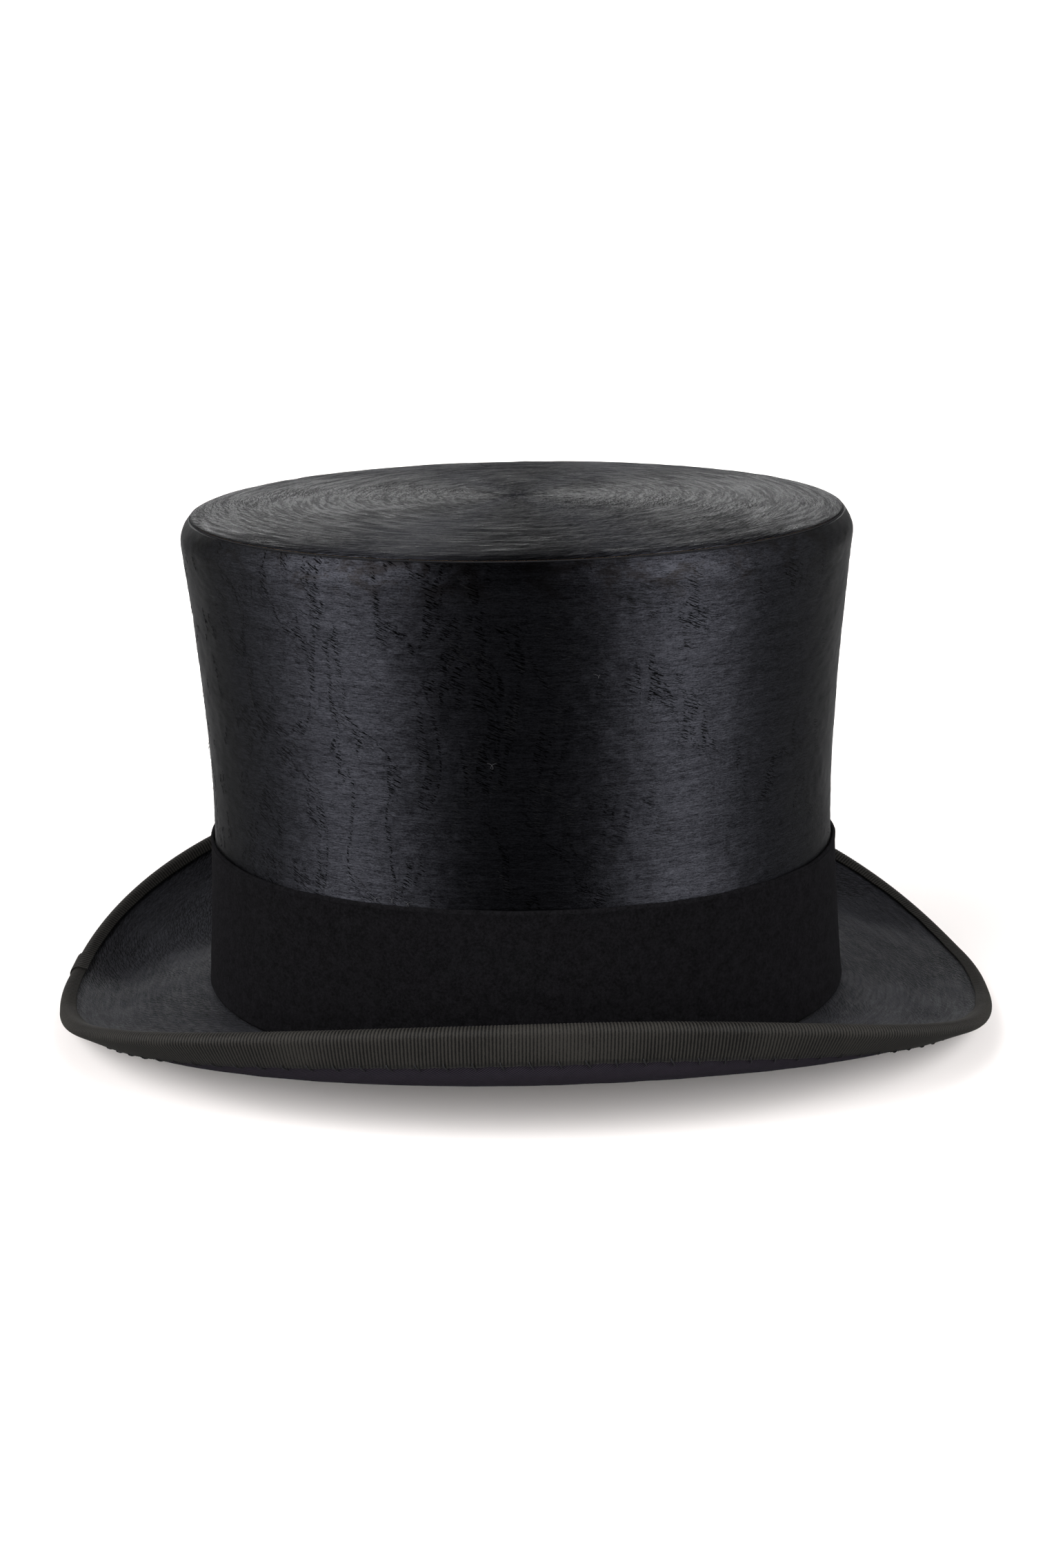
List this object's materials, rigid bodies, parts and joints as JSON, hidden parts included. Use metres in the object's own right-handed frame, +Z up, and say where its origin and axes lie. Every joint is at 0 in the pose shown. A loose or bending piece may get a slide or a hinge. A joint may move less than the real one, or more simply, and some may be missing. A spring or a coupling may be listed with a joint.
{
  "type": "top hat",
  "caption": "Plush-covered top hat on a rigid shell, with a cloth band, a rolled ribbon-bound brim, a leather sweatband and a satin lining.",
  "frame": {"origin": "the middle of the bounding box, on the surface that the brim stands on", "axes": "+Z up; the wearer faces -Y, so the hat's front is at -Y and its back at +Y; +X is the wearer's left"},
  "size_m": [0.2508, 0.3073, 0.1692],
  "materials": {
    "silk_plush": "long silk pile, brushed flat, high sheen",
    "gossamer": "shellacked muslin, satin",
    "calico": "matt plain weave",
    "merino": "matt twill",
    "band_cloth": "matt milled wool cloth",
    "petersham": "ribbed ribbon, low sheen",
    "dark_thread": "twisted thread",
    "pale_thread": "twisted thread",
    "roan_leather": "smooth, satin",
    "reed": "bare cane",
    "tape": "matt tape",
    "satin": "satin",
    "bow_ribbon": "fine ribbed ribbon"
  },
  "bodies": {
    "root": {"crown_side_shell": "gossamer", "crown_tip_shell": "gossamer", "brim_shell": "gossamer", "headline_robbin": "calico", "side_plush": "silk_plush", "tip_plush": "silk_plush", "tip_seam_thread": "dark_thread", "upper_brim_plush": "silk_plush", "under_brim_cloth": "merino", "hat_band": "band_cloth", "band_join_stitches": "dark_thread", "brim_binding": "petersham", "binding_join": "petersham", "binding_stitches": "pale_thread", "sweatband": "roan_leather", "sweatband_reed": "reed", "reed_tape": "tape", "sweatband_backing": "tape", "sweatband_stitches": "pale_thread", "sweatband_bow": "bow_ribbon", "lining_side": "satin", "lining_tip": "satin", "lining_piping": "satin"}
  },
  "joints": []
}
